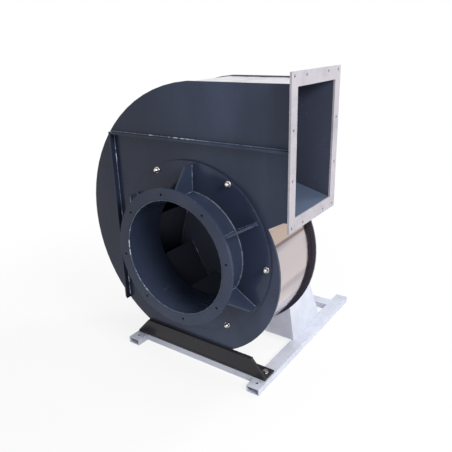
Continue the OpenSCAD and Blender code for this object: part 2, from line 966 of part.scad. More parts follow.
module rear_bearing() {
    bearing(rear_bearing_y);
}

// Copies at the four corner posts of the terminal box
module at_posts(z) {
    for (x = [-1, 1], y = [-1, 1])
        translate([x * (box_w - post_w) / 2, box_y + box_l / 2 + y * (box_l - post_w) / 2, z]) children();
}

module terminal_box() {
    post_h = box_h - box_wall;
    color(motor_col) difference() {
        union() {
            difference() {
                translate([-box_w / 2, box_y, pad_top_z]) cube([box_w, box_l, box_h]);
                translate([box_wall - box_w / 2, box_y + box_wall, pad_top_z + box_wall])
                    cube([box_w - 2 * box_wall, box_l - 2 * box_wall, box_h]);
            }
            at_posts(pad_top_z + box_wall)
                translate([-post_w / 2, -post_w / 2, 0]) cube([post_w, post_w, post_h]);
        }
        at_posts(pad_top_z + box_wall) cylinder(h = post_h + cut, r = lid_screw_d / 2 + fit_gap);
        translate([box_w / 2 - box_wall - cut, box_y + box_l / 2, gland_z]) rotate([0, 90, 0])
            cylinder(h = box_wall + 2 * cut, r = gland_shank_r);
    }
}

module terminal_box_lid() {
    lid_z = pad_top_z + box_h;
    color(motor_col) difference() {
        translate([-box_w / 2, box_y, lid_z]) cube([box_w, box_l, lid_t]);
        at_posts(lid_z - cut) cylinder(h = lid_t + 2 * cut, r = lid_screw_d / 2 + fit_gap);
    }
}

module terminal_lid_screws() {
    lid_top_z = pad_top_z + box_h + lid_t;
    color(steel_col) {
        at_posts(lid_top_z) cylinder(h = lid_screw_d * head_share, r = lid_screw_d * hex_share);
        at_posts(lid_top_z - 2 * lid_t) cylinder(h = 2 * lid_t, r = lid_screw_d / 2);
    }
}

module cable_gland() {
    all_l = box_wall + gland_hex_t + gland_l;
    color(dark_plastic_col)
        translate([box_w / 2, box_y + box_l / 2, gland_z]) rotate([0, 90, 0]) difference() {
        union() {
            translate([0, 0, -box_wall]) cylinder(h = box_wall, r = gland_shank_r);
            cylinder(h = gland_hex_t, r = gland_hex_r, $fn = 6);
            cylinder(h = gland_hex_t + gland_l, r = gland_r);
        }
        translate([0, 0, -box_wall - cut]) cylinder(h = all_l + 2 * cut, r = gland_bore_r);
    }
}

module lifting_eye() {
    color(steel_col) translate([0, eye_y, pad_top_z]) {
        cylinder(h = eye_collar_t, r = eye_boss_r);
        translate([0, 0, -eye_shank_l]) cylinder(h = eye_shank_l, r = foot_bolt_d / 2);
        translate([0, 0, eye_collar_t + eye_r]) rotate([90, 0, 0])
            rotate_extrude() translate([eye_r, 0]) circle(r = eye_bar_r);
    }
}

module motor_flange_bolts() {
    color(steel_col) round_shaft(4, motor_bolt_r, 45) {
        hex(motor_y + motor_flange_t, motor_bolt_d * head_share, motor_bolt_d);
        rod(back_y, ring_t + motor_flange_t, motor_bolt_d / 2);
    }
}

// The key's space, h high above the bottom of its seat in the shaft
module key_space(y, l, h) {
    translate([-key_w / 2, y, shaft_r - key_sunk]) cube([key_w, l, h]);
}

module motor_shaft() {
    body_y = front_bearing_y + bearing_w + shoulder_gap;
    body_end_y = rear_bearing_y - shoulder_gap;
    journal_end_y = rear_bearing_y + bearing_w - shoulder_gap;
    color(steel_col) difference() {
        union() {
            rod(shaft_y, shaft_l, shaft_r);
            rod(motor_y, body_y - motor_y, journal_r);
            rod(body_y, body_end_y - body_y, body_shaft_r);
            rod(body_end_y, journal_end_y - body_end_y, journal_r);
            rod(journal_end_y, cooling_y + cooling_w - journal_end_y, tail_r);
        }
        key_space(key_y, key_l, key_h);
        rod(shaft_y - cut, hub_y + end_bolt_l - shaft_y + 2 * cut, end_bolt_d / 2 + fit_gap);
    }
}

module rotor_core() {
    color(steel_col) tube(core_y, core_l, core_r, body_shaft_r);
}

module motor_cooling_fan() {
    color(dark_plastic_col) difference() {
        union() {
            rod(cooling_y, cooling_w, cooling_hub_r);
            rod(cooling_y, cooling_t, cooling_r);
            round_shaft(cooling_blades, 0, 0) translate([0, cooling_y, -cooling_t / 2])
                cube([cooling_r, cooling_w, cooling_t]);
        }
        rod(cooling_y - cut, cooling_w + 2 * cut, tail_r);
    }
}

module shaft_key() {
    color(steel_col) key_space(key_y, key_l, key_h);
}

// Holes for the hub's bolts
module hub_bolt_holes(y, t) {
    round_shaft(hub_bolt_count, hub_bolt_r, 0) rod(y - cut, t + 2 * cut, hub_bolt_hole_r);
}

module impeller_hub() {
    color(steel_col) difference() {
        union() {
            rod(hub_y, hub_flange_t, hub_flange_r);
            rod(hub_y, hub_end_y - hub_y, boss_r);
        }
        rod(hub_y - cut, hub_end_y - hub_y + 2 * cut, shaft_r);
        key_space(hub_y - cut, hub_end_y - hub_y + 2 * cut, key_h + fit_gap);
        hub_bolt_holes(hub_y, hub_flange_t);
    }
}

module hub_bolts() {
    thick = hub_bolt_d * head_share;
    color(stainless_col) round_shaft(hub_bolt_count, hub_bolt_r, 0) {
        hex(hub_y - thick, thick, hub_bolt_d);
        rod(hub_y, hub_flange_t + disc_t, hub_bolt_d / 2);
        hex(disc_end_y, thick, hub_bolt_d);
    }
}

module shaft_end_bolt() {
    thick = end_bolt_d * head_share;
    color(stainless_col) {
        hex(hub_y - end_washer_t - thick, thick, end_bolt_d);
        rod(hub_y - end_washer_t, end_washer_t, end_washer_r);
        rod(hub_y, end_bolt_l, end_bolt_d / 2);
    }
}

module impeller_back_disc() {
    color(impeller_col) difference() {
        tube(disc_y, disc_t, impeller_r, boss_r);
        hub_bolt_holes(disc_y, disc_t);
    }
}

// A blade's middle line bows outwards between its inner and its outer edge
blade_from = [blade_in_r, 0];
blade_to = (impeller_r + blade_t) * [cos(blade_wrap), sin(blade_wrap)];
blade_chord = (blade_to - blade_from) / norm(blade_to - blade_from);
blade_normal = [blade_chord.y, -blade_chord.x];
function blade_point(share, side) =
    blade_from + share * (blade_to - blade_from)
    + (blade_bow * sin(180 * share) + side * blade_t / 2) * blade_normal;
function blade_side(side) = [for (i = [0 : blade_steps]) blade_point(i / blade_steps, side)];

module impeller_blades() {
    color(impeller_col) intersection() {
        for (i = [0 : blade_count - 1]) along_y(cone_y, disc_y - cone_y)
            rotate(blade_phase + 360 * i / blade_count)
            polygon(concat(blade_side(1), reversed(blade_side(-1))));
        turned() polygon([
            [bore_r, disc_y],
            [bore_r, cone_y],
            [collar_r, cone_y],
            [impeller_r, rim_y],
            [impeller_r, disc_y]
        ]);
    }
}

module impeller_shroud() {
    color(impeller_col) turned() polygon([
        [collar_r, collar_y],
        [collar_r + collar_t, collar_y],
        [collar_r + collar_t, cone_y - collar_t / 2],
        [impeller_r, rim_y - collar_t],
        [impeller_r, rim_y],
        [collar_r, cone_y]
    ]);
}

module impeller_nose_cap() {
    centre_y = hub_y - cap_h + cap_sphere_r;
    color(impeller_col) difference() {
        intersection() {
            translate([0, centre_y, 0]) sphere(r = cap_sphere_r);
            rod(hub_y - cap_h, cap_h, cap_r);
        }
        translate([0, centre_y, 0]) sphere(r = cap_sphere_r - cap_wall);
    }
}

inlet_flange();
inlet_pipe();
inlet_gussets();
inlet_cover();
cover_gasket();
cover_studs();
cover_washers();
cover_nuts();
front_plate();
scroll_lining();
scroll_sheet();
back_plate();
front_rib_level();
front_rib_upright();
back_rib_level();
back_rib_upright();
outlet_flange();
front_foot_web();
front_foot_base();
foot_bolts();
left_rail();
right_rail();
front_cross_tube();
rear_cross_tube();
pedestal_front_wall();
pedestal_rear_wall();
pedestal_left_wall();
pedestal_right_wall();
motor_seat();
back_ring();
ring_bolts();
shaft_seal();
motor_frame();
motor_flange_shield();
motor_rear_shield();
motor_fan_cowl();
cowl_screws();
stator_core();
stator_windings();
front_bearing();
rear_bearing();
terminal_box();
terminal_box_lid();
terminal_lid_screws();
cable_gland();
lifting_eye();
motor_flange_bolts();
motor_foot_bolts();
motor_shaft();
rotor_core();
motor_cooling_fan();
shaft_key();
impeller_hub();
hub_bolts();
shaft_end_bolt();
impeller_back_disc();
impeller_blades();
impeller_shroud();
impeller_nose_cap();
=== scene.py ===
import json
import math

import bmesh
import bpy
from mathutils import Matrix, Vector


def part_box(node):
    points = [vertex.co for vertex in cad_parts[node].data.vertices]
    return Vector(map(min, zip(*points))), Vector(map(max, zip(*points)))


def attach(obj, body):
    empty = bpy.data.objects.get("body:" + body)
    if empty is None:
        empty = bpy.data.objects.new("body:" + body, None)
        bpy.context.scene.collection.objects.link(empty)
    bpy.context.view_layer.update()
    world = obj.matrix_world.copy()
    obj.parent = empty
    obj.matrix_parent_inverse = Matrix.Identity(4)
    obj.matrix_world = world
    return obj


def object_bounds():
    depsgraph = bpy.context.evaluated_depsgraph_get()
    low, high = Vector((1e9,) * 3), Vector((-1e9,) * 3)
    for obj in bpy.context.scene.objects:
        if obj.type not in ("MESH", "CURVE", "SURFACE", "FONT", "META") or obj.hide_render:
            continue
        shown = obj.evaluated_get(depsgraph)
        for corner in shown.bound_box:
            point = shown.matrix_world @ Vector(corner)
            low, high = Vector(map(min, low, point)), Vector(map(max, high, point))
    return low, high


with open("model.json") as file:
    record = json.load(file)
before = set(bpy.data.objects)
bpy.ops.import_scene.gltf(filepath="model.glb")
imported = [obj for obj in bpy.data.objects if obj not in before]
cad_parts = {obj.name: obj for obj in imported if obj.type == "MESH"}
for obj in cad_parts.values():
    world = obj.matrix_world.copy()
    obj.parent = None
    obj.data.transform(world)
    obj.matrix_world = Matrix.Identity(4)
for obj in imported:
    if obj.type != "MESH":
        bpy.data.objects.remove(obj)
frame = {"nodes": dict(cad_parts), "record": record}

cad_box = [list(corner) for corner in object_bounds()]
nodes = frame["nodes"]
MM = 0.001

# Materials
# Each surface mixes slow changes of colour with fine grain, wear and grime, placed in the frame's own metres.
# The plastic and the bright sheet also have painted light, shade and reflections in their colours.
COAT_ROUGHNESS = 0.08
PLASTIC_IOR = 1.33
ROD_IOR = 1.45
PAINT_COAT = 0.1
ALONG_SHAFT = (1.0, 12.0, 1.0)


class Surface:
    """One procedural material, with the nodes that its looks need."""

    def __init__(self, name, metallic=0.0, ior=1.5, coat=0.0):
        self.material = bpy.data.materials.new(name)
        self.material.use_nodes = True
        self.tree = self.material.node_tree
        self.shader = self.tree.nodes["Principled BSDF"]
        self.shader.inputs["Metallic"].default_value = metallic
        self.shader.inputs["IOR"].default_value = ior
        self.shader.inputs["Coat Weight"].default_value = coat
        self.shader.inputs["Coat Roughness"].default_value = COAT_ROUGHNESS
        self.place = self.tree.nodes.new("ShaderNodeTexCoord").outputs["Object"]
        self.height = None

    def node(self, kind, **values):
        made = self.tree.nodes.new(kind)
        for key, value in values.items():
            setattr(made, key, value)
        return made

    def link(self, source, target):
        self.tree.links.new(source, target)

    def part(self, vector, axis):
        """One of a vector's three numbers."""
        split = self.node("ShaderNodeSeparateXYZ")
        self.link(vector, split.inputs["Vector"])
        return split.outputs[axis]

    def stretched(self, scale):
        """The place, scaled by its own amount along each axis."""
        mapping = self.node("ShaderNodeMapping")
        mapping.inputs["Scale"].default_value = scale
        self.link(self.place, mapping.inputs["Vector"])
        return mapping.outputs["Vector"]

    def noise(self, scale, detail=4.0, rough=0.5, stretch=None):
        made = self.node("ShaderNodeTexNoise")
        made.inputs["Scale"].default_value = scale
        made.inputs["Detail"].default_value = detail
        made.inputs["Roughness"].default_value = rough
        self.link(self.stretched(stretch) if stretch else self.place, made.inputs["Vector"])
        return made.outputs["Fac"]

    def ramp(self, value, low, high, to_low=0.0, to_high=1.0):
        """A smooth step: to_low where the value is below low, to_high where it is above high."""
        made = self.node("ShaderNodeMapRange", interpolation_type="SMOOTHSTEP")
        made.inputs["From Min"].default_value = low
        made.inputs["From Max"].default_value = high
        made.inputs["To Min"].default_value = to_low
        made.inputs["To Max"].default_value = to_high
        self.link(value, made.inputs["Value"])
        return made.outputs["Result"]

    def times(self, first, *others):
        """The product of a socket with other sockets or numbers."""
        for other in others:
            made = self.node("ShaderNodeMath", operation="MULTIPLY")
            self.link(first, made.inputs[0])
            if isinstance(other, float):
                made.inputs[1].default_value = other
            else:
                self.link(other, made.inputs[1])
            first = made.outputs["Value"]
        return first

    def mix(self, share, a, b):
        """A colour between a, at a share of 0, and b, at a share of 1."""
        made = self.node("ShaderNodeMix", data_type="RGBA")
        self.link(share, made.inputs["Factor"])
        for place, colour in ((6, a), (7, b)):
            if isinstance(colour, tuple):
                made.inputs[place].default_value = (*colour, 1.0)
            else:
                self.link(colour, made.inputs[place])
        return made.outputs[2]

    def facing(self):
        """How far a face looks along +Y, from the inlet to the motor."""
        return self.part(self.node("ShaderNodeNewGeometry").outputs["Normal"], "Y")

    def on_flat_sides(self):
        """1 on a plate's flat sides and 0 on its rim."""
        size = self.node("ShaderNodeMath", operation="ABSOLUTE")
        self.link(self.facing(), size.inputs[0])
        return self.ramp(size.outputs["Value"], 0.5, 0.8)

    def on_inlet_side(self):
        """1 on faces that look to the inlet."""
        return self.ramp(self.facing(), -0.8, -0.5, 1.0, 0.0)

    def colour(self, source):
        self.link(source, self.shader.inputs["Base Color"])

    def roughness(self, source):
        self.link(source, self.shader.inputs["Roughness"])

    def bump(self, source, strength, distance):
        """Relief from a height, on top of the relief that the surface already has."""
        made = self.node("ShaderNodeBump")
        made.inputs["Strength"].default_value = strength
        made.inputs["Distance"].default_value = distance
        self.link(source, made.inputs["Height"])
        if self.height:
            self.link(self.height, made.inputs["Normal"])
        self.height = made.outputs["Normal"]
        self.link(self.height, self.shader.inputs["Normal"])


def plastic(name, dark, light, worn, rough, rim=None):
    """Welded sheet plastic: slow mottling, faint drawn lines, a few scuffs and a wavy gloss.

    It grows lighter towards the outlet, where the light falls most: painted light. A plate with a rim
    colour has it on its rim and, below the outlet, on the side that looks to the inlet.
    """
    made = Surface(name, ior=PLASTIC_IOR)
    mottling = made.noise(scale=3.2, detail=4.0, rough=0.5, stretch=(1.0, 1.0, 0.5))
    mottling = made.ramp(mottling, 0.34, 0.66, 0.3, 1.0)
    # Painted light: the plastic grows lighter towards the outlet, the side that the light falls on most.
    painted_light_to_outlet = made.ramp(made.part(made.place, "X"), -0.5, 0.4, 0.1, 1.0)
    colour = made.mix(made.times(mottling, painted_light_to_outlet), dark, light)

    lines = made.noise(scale=3.0, detail=6.0, rough=0.65, stretch=(40.0, 40.0, 4.0))
    line_share = 0.2
    colour = made.mix(made.times(made.ramp(lines, 0.55, 0.80), line_share), colour, light)

    scuffs = made.noise(scale=9.0, detail=8.0, rough=0.75, stretch=(1.0, 1.0, 14.0))
    patches = made.noise(scale=4.0, detail=2.0, rough=0.5)
    scuff_share = 0.5
    scuffed = made.times(made.ramp(scuffs, 0.62, 0.72), made.ramp(patches, 0.55, 0.70), scuff_share)
    colour = made.mix(scuffed, colour, worn)

    if rim:
        colour = made.mix(made.on_flat_sides(), rim, colour)
        below_outlet = made.ramp(made.part(made.place, "Z"), 0.12, 0.15, 1.0, 0.0)
        colour = made.mix(made.times(made.on_inlet_side(), below_outlet), colour, rim)
    made.colour(colour)
    made.roughness(made.ramp(made.noise(scale=6.0, detail=6.0, rough=0.6), 0.30, 0.72, *rough))
    made.bump(made.noise(scale=2.2, detail=2.0, rough=0.4), strength=0.30, distance=0.004)
    made.bump(made.noise(scale=900.0, detail=3.0, rough=0.5), strength=0.04, distance=0.0003)
    return made.material


def weld_rod(name, dark, light, white, rough):
    """Welding rod: ripples along the bead, and white stretches and spots."""
    made = Surface(name, ior=ROD_IOR)
    colour = made.mix(made.ramp(made.noise(scale=60.0, detail=3.0), 0.35, 0.65), dark, light)
    stretches = made.ramp(made.noise(scale=13.0, detail=1.0), 0.56, 0.64)
    spots = made.ramp(made.noise(scale=70.0, detail=2.0), 0.44, 0.60)
    made.colour(made.mix(made.times(stretches, spots), colour, white))
    made.roughness(made.ramp(made.noise(scale=80.0, detail=3.0), 0.30, 0.70, *rough))
    made.bump(made.noise(scale=320.0, detail=2.0), strength=0.25, distance=0.0008)
    return made.material


def painted(name, base, shade, chip, rough):
    """Sprayed paint on steel: orange peel, grime in patches and a few dull spots."""
    made = Surface(name, coat=PAINT_COAT)
    slow = made.noise(scale=7.0, detail=5.0, rough=0.6)
    colour = made.mix(made.ramp(slow, 0.38, 0.72), base, shade)
    spots = made.noise(scale=110.0, detail=2.0)
    spot_share = 0.45
    colour = made.mix(made.times(made.ramp(spots, 0.70, 0.76), spot_share), colour, chip)
    smudges = made.noise(scale=34.0, detail=6.0, rough=0.7)
    smudge_share = 0.3
    made.colour(made.mix(made.times(made.ramp(smudges, 0.52, 0.70), smudge_share), colour, chip))
    made.roughness(made.ramp(made.noise(scale=18.0, detail=6.0, rough=0.6), 0.30, 0.70, *rough))
    made.bump(made.noise(scale=260.0, detail=2.0), strength=0.10, distance=0.0008)
    made.bump(made.noise(scale=12.0, detail=3.0), strength=0.10, distance=0.003)
    return made.material


def metal(name, light, dark, rough):
    """Bare metal: fine grain and slow changes of sheen."""
    made = Surface(name, metallic=1.0)
    slow = made.noise(scale=9.0, detail=5.0, rough=0.6)
    made.colour(made.mix(made.ramp(slow, 0.35, 0.70), light, dark))
    grain = made.noise(scale=220.0, detail=4.0, rough=0.6)
    made.roughness(made.ramp(grain, 0.30, 0.70, *rough))
    made.bump(grain, strength=0.05, distance=0.0003)
    made.bump(made.noise(scale=4.0, detail=2.0, rough=0.4), strength=0.1, distance=0.006)
    return made.material


def rolled_sheet(name, low, high, reflection_stripe, drawn, painted_tan_shade, painted_line_shade, rough):
    """Bright rolled sheet, with painted reflections: pinkish at the side, bluer on top and darker in
    stripes along the shaft's line.

    Under the outlet flange it has painted shade: a tan stretch for the flange's shadow, and a dark
    line below that.
    """
    made = Surface(name, metallic=1.0)
    height = made.part(made.place, "Z")
    # Painted reflection: pinkish low on the side, bluer high on the top.
    colour = made.mix(made.ramp(height, -0.2, 0.5), low, high)
    # Painted reflections: darker stripes along the shaft's line.
    reflection_stripes = made.noise(scale=7.0, detail=2.0, stretch=(1.0, 0.12, 1.0))
    colour = made.mix(made.ramp(reflection_stripes, 0.48, 0.62), colour, reflection_stripe)
    grain = made.noise(scale=220.0, detail=4.0, rough=0.6, stretch=ALONG_SHAFT)
    grain_share = 0.25
    colour = made.mix(made.times(made.ramp(grain, 0.45, 0.75), grain_share), colour, drawn)

    # Painted shade under the outlet flange: a tan stretch for the flange's shadow, lit by the ground.
    outlet_side = made.ramp(made.part(made.place, "X"), 0.22, 0.26)
    above = made.times(made.ramp(height, 0.052, 0.062), made.ramp(height, 0.20, 0.26, 1.0, 0.0))
    tan_shade_share = 0.8
    colour = made.mix(made.times(outlet_side, above, tan_shade_share), colour, painted_tan_shade)
    # Painted shade: a dark line below the tan stretch.
    line = made.times(made.ramp(height, 0.047, 0.053), made.ramp(height, 0.056, 0.062, 1.0, 0.0))
    line_shade_share = 0.7
    made.colour(made.mix(made.times(outlet_side, line, line_shade_share), colour, painted_line_shade))
    made.roughness(made.ramp(made.noise(scale=16.0, detail=5.0, rough=0.6), 0.30, 0.70, *rough))
    made.bump(grain, strength=0.04, distance=0.0003)
    made.bump(made.noise(scale=4.0, detail=2.0, rough=0.4), strength=0.35, distance=0.006)
    return made.material


def rubber(name, dark, light, rough):
    """Dull rubber with a fine grain."""
    made = Surface(name)
    made.colour(made.mix(made.ramp(made.noise(scale=60.0), 0.4, 0.7), dark, light))
    made.roughness(made.ramp(made.noise(scale=90.0), 0.3, 0.7, *rough))
    made.bump(made.noise(scale=700.0, detail=2.0), strength=0.2, distance=0.0005)
    return made.material


def floor_surface(name, dark, light, rough):
    """A plain pale floor with a faint mottling."""
    made = Surface(name)
    made.colour(made.mix(made.ramp(made.noise(scale=1.5, detail=3.0), 0.3, 0.7), dark, light))
    made.roughness(made.ramp(made.noise(scale=3.0), 0.3, 0.7, *rough))
    made.bump(made.noise(scale=60.0, detail=2.0), strength=0.02, distance=0.001)
    return made.material


SCUFFED = (0.14, 0.15, 0.18)
PAINT_ROUGH = (0.35, 0.60)
looks = {
    "casing_plastic": plastic(
        "CasingPlastic",
        dark=(0.016, 0.022, 0.044),
        light=(0.058, 0.077, 0.132),
        worn=SCUFFED,
        rough=(0.14, 0.30),
    ),
    "dark_plastic": plastic(
        "DarkPlastic",
        dark=(0.016, 0.015, 0.019),
        light=(0.026, 0.024, 0.029),
        worn=(0.10, 0.09, 0.09),
        rough=(0.12, 0.28),
    ),
    "impeller_plastic": plastic(
        "ImpellerPlastic",
        dark=(0.065, 0.078, 0.105),
        light=(0.090, 0.105, 0.135),
        worn=(0.14, 0.15, 0.17),
        rough=(0.12, 0.26),
    ),
    # The lining's colours are lighter and bluer than the casing plastic's: painted light for the lit inside
    # of the duct.
    "lining_plastic": plastic(
        "LiningPlasticPaintedLight",
        dark=(0.075, 0.105, 0.165),
        light=(0.100, 0.135, 0.205),
        worn=(0.15, 0.18, 0.23),
        rough=(0.16, 0.30),
    ),
    "sheet_metal": rolled_sheet(
        "BrightSheet",
        # Painted reflections: pinkish low on the side, bluer high on top, and darker stripes.
        low=(0.61, 0.52, 0.51),
        high=(0.56, 0.55, 0.64),
        reflection_stripe=(0.33, 0.30, 0.34),
        drawn=(0.40, 0.36, 0.38),
        # Painted shade: tan for the flange's shadow, and a dark line below it.
        painted_tan_shade=(0.58, 0.45, 0.37),
        painted_line_shade=(0.16, 0.11, 0.09),
        rough=(0.10, 0.24),
    ),
    "flange_paint": painted(
        "FlangePaint",
        base=(0.42, 0.40, 0.44),
        shade=(0.31, 0.295, 0.33),
        chip=(0.20, 0.18, 0.19),
        rough=PAINT_ROUGH,
    ),
    "frame_paint": painted(
        "FramePaint",
        base=(0.62, 0.65, 0.75),
        shade=(0.52, 0.55, 0.64),
        chip=(0.36, 0.36, 0.39),
        rough=(0.32, 0.55),
    ),
    "motor_paint": painted(
        "MotorPaint",
        base=(0.10, 0.15, 0.22),
        shade=(0.075, 0.11, 0.17),
        chip=(0.20, 0.21, 0.22),
        rough=PAINT_ROUGH,
    ),
    "stainless": metal("Stainless", light=(0.66, 0.64, 0.63), dark=(0.46, 0.45, 0.45), rough=(0.14, 0.30)),
    "steel": metal("Steel", light=(0.56, 0.57, 0.58), dark=(0.42, 0.43, 0.44), rough=(0.30, 0.50)),
    "copper": metal("Copper", light=(0.62, 0.32, 0.18), dark=(0.45, 0.22, 0.12), rough=(0.30, 0.50)),
    "rubber": rubber("Rubber", dark=(0.012, 0.012, 0.013), light=(0.03, 0.03, 0.031), rough=(0.55, 0.8)),
}
back_plate_look = plastic(
    "BackPlatePlastic",
    dark=(0.050, 0.057, 0.090),
    light=(0.068, 0.078, 0.118),
    worn=SCUFFED,
    rough=(0.14, 0.30),
    rim=(0.034, 0.029, 0.045),
)
weld_look = weld_rod(
    "WeldRod",
    dark=(0.070, 0.090, 0.130),
    light=(0.13, 0.16, 0.22),
    white=(0.66, 0.70, 0.76),
    rough=(0.18, 0.36),
)

# Edges
# CAD nodes keep their shapes. They get soft edges and their looks.
EDGE_WIDTH = 0.8 * MM
FINE_EDGES = {
    "motor_frame": 0.5 * MM,
    "stator_core": 0.3 * MM,
    "shaft_key": 0.3 * MM,
    "scroll_sheet": 0.3 * MM,
}
SAME_POINT = 0.01 * MM
FLAT_DEGREES = 0.5
SHARP_DEGREES = 40
EDGE_SEGMENTS = 2
NORMAL_WEIGHT = 50


def soften(thing, width):
    """Joins the faces' corners and the flat faces, rounds the sharp edges and evens the shading."""
    weld = thing.modifiers.new("Weld", "WELD")
    weld.merge_threshold = SAME_POINT
    planar = thing.modifiers.new("Planar", "DECIMATE")
    planar.decimate_type = "DISSOLVE"
    planar.angle_limit = math.radians(FLAT_DEGREES)
    bevel = thing.modifiers.new("Bevel", "BEVEL")
    bevel.width = width
    bevel.segments = EDGE_SEGMENTS
    bevel.limit_method = "ANGLE"
    bevel.angle_limit = math.radians(SHARP_DEGREES)
    bevel.harden_normals = False
    smooth = thing.modifiers.new("Normals", "WEIGHTED_NORMAL")
    smooth.mode = "FACE_AREA_WITH_ANGLE"
    smooth.weight = NORMAL_WEIGHT
    smooth.keep_sharp = False


def dress_nodes():
    """Gives each CAD node the look of its slot and soft edges."""
    look_of = {row["node"]: looks[row["material_slot"]] for row in frame["record"]["subparts"]}
    look_of["back_plate"] = back_plate_look
    for name, thing in nodes.items():
        thing.data.materials.clear()
        thing.data.materials.append(look_of[name])
        soften(thing, FINE_EDGES.get(name, EDGE_WIDTH))


def new_piece(name, mesh, look, body):
    """An object from a bmesh, with its look, that rides on a body."""
    bmesh.ops.recalc_face_normals(mesh, faces=mesh.faces)
    data = bpy.data.meshes.new(name)
    mesh.to_mesh(data)
    mesh.free()
    data.materials.append(look)
    thing = bpy.data.objects.new(name, data)
    bpy.context.scene.collection.objects.link(thing)
    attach(thing, body)
    return thing


dress_nodes()

# Duct floor
# Corners of the board in X and Z. Its top rises inwards from the outlet to the cut-off.
# Known fault: the lower inner corner lies inside the turning impeller's reach, and
# the lower outer corner lies below the duct's lining.
BOARD_PROFILE = [
    (0.381, 0.1735),
    (0.300, 0.1955),
    (0.232, 0.213),
    (0.224, 0.208),
    (0.224, 0.150),
    (0.381, 0.150),
]


def cutoff_floor():
    """The board on the duct's floor, between the side plates."""
    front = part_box("front_plate")[1].y
    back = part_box("back_plate")[0].y
    mesh = bmesh.new()
    near, far = [[mesh.verts.new((x, y, z)) for x, z in BOARD_PROFILE] for y in (front, back)]
    mesh.faces.new(near)
    mesh.faces.new(list(reversed(far)))
    for k in range(len(near)):
        after = (k + 1) % len(near)
        mesh.faces.new((near[k], far[k], far[after], near[after]))
    board = new_piece("cutoff_floor", mesh, looks["lining_plastic"], "casing")
    soften(board, EDGE_WIDTH)


# Weld beads
# Each is a slightly uneven tube in the corner where two welded pieces meet.
BEAD_SIDES = 8
BEAD_STEP = 6 * MM
# Radii
COVER_BEAD = 2.6 * MM
INLET_BEAD = 2.0 * MM
BORE_BEAD = 1.8 * MM
RIB_BEAD = 1.8 * MM
LIP_BEAD = 2.2 * MM
FOOT_TOP_BEAD = 2.0 * MM
FOOT_BASE_BEAD = 1.8 * MM
BLADE_BEAD = 1.6 * MM
# How a bead's thickness changes along its run: the share, the turn per step and the start of each wave
WAVES = ((0.16, 2.1, 0.0), (0.09, 5.3, 1.0))


def along(points):
    """The points, with more between them so that no step is longer than a bead's step."""
    dense = [points[0]]
    for start, end in zip(points, points[1:]):
        count = max(1, math.ceil((end - start).length / BEAD_STEP))
        dense += [start.lerp(end, i / count) for i in range(1, count + 1)]
    return dense


def bead(name, points, radius, closed=False, look=weld_look, body="casing"):
    """A run of weld: a tube along the points, a little uneven in thickness."""
    path = along(points + points[:1] if closed else points)
    if closed:
        path = path[:-1]
    mesh = bmesh.new()
    turns = [2 * math.pi * k / BEAD_SIDES for k in range(BEAD_SIDES)]
    rings = []
    side = None
    for i, here in enumerate(path):
        before = path[i - 1] if i or closed else here
        after = path[(i + 1) % len(path)] if i + 1 < len(path) or closed else here
        run = (after - before).normalized()
        side = (side - run * side.dot(run)).normalized() if side else run.orthogonal().normalized()
        up = run.cross(side)
        size = radius * (1 + sum(share * math.sin(turn * i + start) for share, turn, start in WAVES))
        rings.append([mesh.verts.new(here + size * (math.cos(a) * side + math.sin(a) * up)) for a in turns])
    pairs = list(zip(rings, rings[1:]))
    if closed:
        pairs.append((rings[-1], rings[0]))
    else:
        mesh.faces.new(list(reversed(rings[0])))
        mesh.faces.new(rings[-1])
    for first, second in pairs:
        for k in range(BEAD_SIDES):
            after = (k + 1) % BEAD_SIDES
            mesh.faces.new((first[k], first[after], second[after], second[k]))
    for face in mesh.faces:
        face.smooth = True
    new_piece(name, mesh, look, body)


def polar(r, degrees, y):
    """A point at a radius and an angle round the shaft."""
    a = math.radians(degrees)
    return Vector((r * math.cos(a), y, r * math.sin(a)))


RING_STEPS = 96


def ring_bead(name, y, r, radius):
    """A closed bead round the shaft's line."""
    points = [polar(r, 360 * i / RING_STEPS, y) for i in range(RING_STEPS)]
    bead(name, points, radius, closed=True)


# Distance of a ring's bead from the two faces that it joins
RING_OUT = 1 * MM
RING_OFF = 0.5 * MM
BORE_R = 200 * MM
BORE_BEAD_Y = 3 * MM
GUSSETS = 6
GUSSET_ANGLE = 28
GUSSET_T = 8 * MM
GUSSET_INSET = 11 * MM
GUSSET_START = 1 * MM


def inlet_beads():
    """The welds of the stub, its flange, the cover and the gussets."""
    pipe_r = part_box("inlet_pipe")[1].x
    flange_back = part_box("inlet_flange")[1].y
    cover_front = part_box("inlet_cover")[0].y
    cover_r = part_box("inlet_cover")[1].x
    ring_bead("bead_pipe_cover", cover_front - RING_OFF, pipe_r + RING_OUT, COVER_BEAD)
    ring_bead("bead_pipe_flange", flange_back + RING_OFF, pipe_r + RING_OUT, INLET_BEAD)
    ring_bead("bead_bore_edge", BORE_BEAD_Y, BORE_R, BORE_BEAD)
    for i in range(GUSSETS):
        angle = GUSSET_ANGLE + 360 * i / GUSSETS
        across = Vector((-math.sin(math.radians(angle)), 0, math.cos(math.radians(angle))))
        for number, side in enumerate((-1, 1)):
            shift = across * side * GUSSET_T / 2
            edge = polar(cover_r - GUSSET_INSET, angle, cover_front) + shift
            corner = polar(pipe_r, angle, cover_front) + shift
            front = polar(pipe_r, angle, flange_back + GUSSET_START) + shift
            bead(f"bead_gusset_{i}_{number}", [edge, corner, front], INLET_BEAD)


BLADES = 8
BLADE_ANGLE = 25
BLADE_WRAP = 46
BLADE_IN_R = 213 * MM
BLADE_OVERSHOOT = 8 * MM
BLADE_OFFSET = 4.6 * MM
BLADE_LIFT = 0.6 * MM
WELDED_SHARE = 0.85


